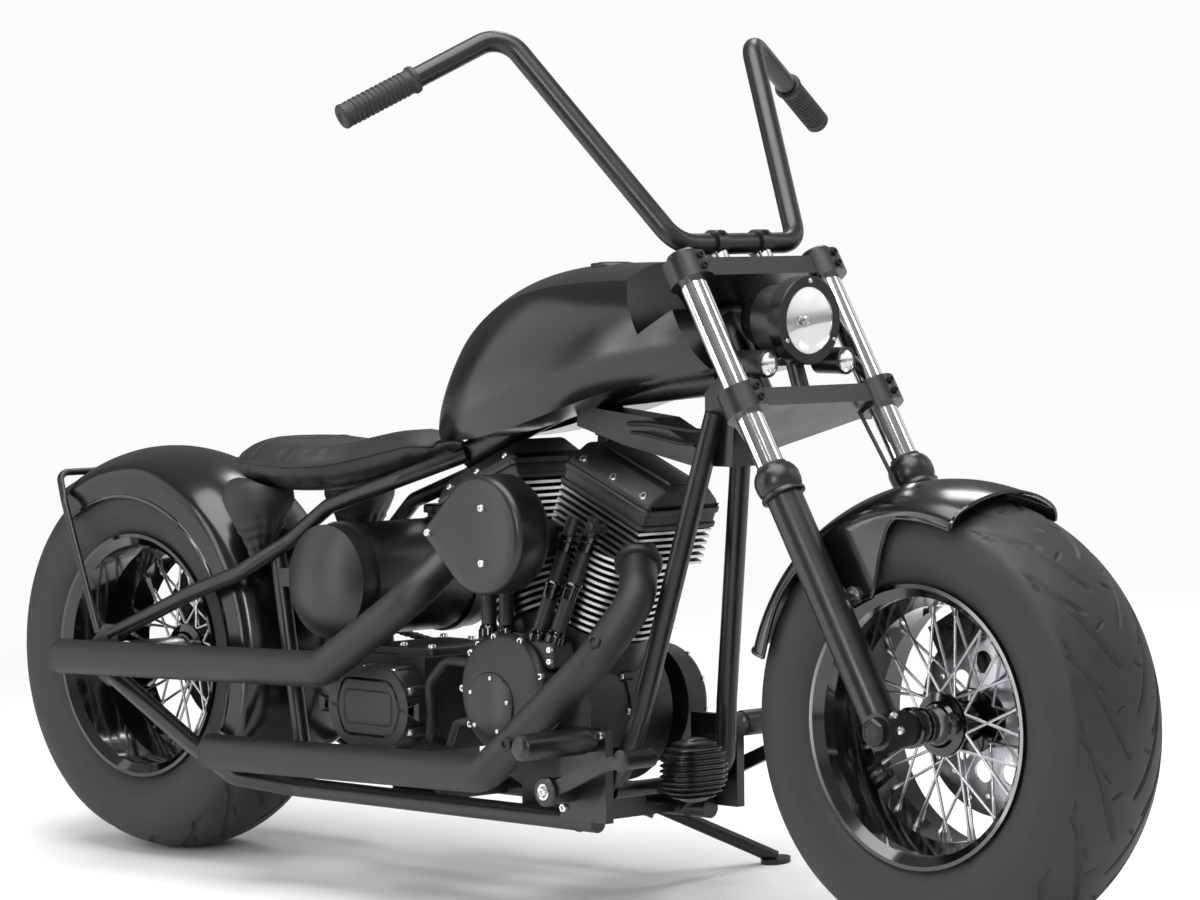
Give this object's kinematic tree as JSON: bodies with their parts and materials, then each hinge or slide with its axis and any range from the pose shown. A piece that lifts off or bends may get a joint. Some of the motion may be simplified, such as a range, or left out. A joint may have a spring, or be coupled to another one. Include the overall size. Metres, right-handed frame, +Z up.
{
  "type": "hardtail chopper motorcycle",
  "caption": "Low hardtail chopper motorcycle with fat tyres, high swept handlebar, solo seat and open V-twin engine, leaning on its side stand.",
  "frame": {"origin": "on the floor, under the middle of the bounding box of the parked motorcycle", "axes": "+X forward, +Y to the rider's left, +Z up from the floor; the motorcycle leans to its left onto its side stand"},
  "size_m": [2.436, 1.034, 1.3681],
  "materials": {
    "gloss_black_paint": "gloss",
    "satin_black_steel": "satin",
    "black_cast_aluminium": "satin",
    "heatproof_black_coating": "matte",
    "hard_chrome": "polished",
    "stainless_steel": "satin",
    "dark_steel": "satin",
    "tyre_rubber": "matte",
    "grip_rubber": "matte",
    "black_leather": "satin",
    "lamp_glass": "polished"
  },
  "bodies": {
    "chassis": {"head_tube": "satin_black_steel", "backbone": "satin_black_steel", "downtube_right": "satin_black_steel", "downtube_left": "satin_black_steel", "lower_rail_right": "satin_black_steel", "lower_rail_left": "satin_black_steel", "top_rail_right": "satin_black_steel", "top_rail_left": "satin_black_steel", "seat_posts": "satin_black_steel", "axle_plates": "satin_black_steel", "bearers": "satin_black_steel", "crankcase": "black_cast_aluminium", "cam_cover": "black_cast_aluminium", "pushrod_tubes": "black_cast_aluminium", "front_cylinder": "black_cast_aluminium", "front_rocker_box": "black_cast_aluminium", "rear_cylinder": "black_cast_aluminium", "rear_rocker_box": "black_cast_aluminium", "air_cleaner": "black_cast_aluminium", "carburettor": "black_cast_aluminium", "gearbox": "black_cast_aluminium", "primary_cover": "black_cast_aluminium", "exhaust_upper": "heatproof_black_coating", "exhaust_lower": "heatproof_black_coating", "right_control": "satin_black_steel", "left_control": "satin_black_steel", "regulator": "black_cast_aluminium", "fuel_tank": "gloss_black_paint", "seat_pad": "black_leather", "rear_fender": "gloss_black_paint", "seat_boot": "black_leather", "fender_strut": "satin_black_steel", "oil_tank": "black_cast_aluminium", "oil_lines": "grip_rubber", "coil_cover": "satin_black_steel", "cables": "grip_rubber", "rear_axle": "dark_steel", "final_chain": "dark_steel", "rear_caliper": "black_cast_aluminium"},
    "front_end": {"fork_tubes": "hard_chrome", "fork_lowers": "satin_black_steel", "lower_clamp": "satin_black_steel", "top_clamp": "satin_black_steel", "front_axle": "dark_steel", "handlebar": "satin_black_steel", "grips": "grip_rubber", "headlight": "satin_black_steel", "lamp_glasses": "lamp_glass", "front_fender": "gloss_black_paint", "front_caliper": "black_cast_aluminium", "brake_hose": "grip_rubber"},
    "front_wheel": {"front_tyre": "tyre_rubber", "front_rim": "satin_black_steel", "front_spokes": "stainless_steel", "front_disc": "stainless_steel"},
    "rear_wheel": {"rear_tyre": "tyre_rubber", "rear_rim": "satin_black_steel", "rear_spokes": "stainless_steel", "rear_sprocket": "dark_steel"},
    "side_stand": {"side_stand": "satin_black_steel"}
  },
  "joints": [
    {"name": "steering", "type": "hinge", "parent": "chassis", "child": "front_end", "pos_m": [0.45784, -0.04084, 0.83445], "axis": [-0.5105, 0.0899, 0.8551], "range_deg": [-28, 28]},
    {"name": "front_wheel_spin", "type": "hinge", "parent": "front_end", "child": "front_wheel", "pos_m": [0.886, -0.09375, 0.33109], "axis": [0, 0.9945, -0.1045], "continuous": true},
    {"name": "rear_wheel_spin", "type": "hinge", "parent": "chassis", "child": "rear_wheel", "pos_m": [-0.886, -0.09375, 0.33109], "axis": [0, 0.9945, -0.1045], "continuous": true},
    {"name": "side_stand_fold", "type": "hinge", "parent": "chassis", "child": "side_stand", "pos_m": [0.089, 0.04311, 0.12163], "axis": [0.1865, 0.4989, 0.8463], "range_deg": [0, 109]}
  ]
}
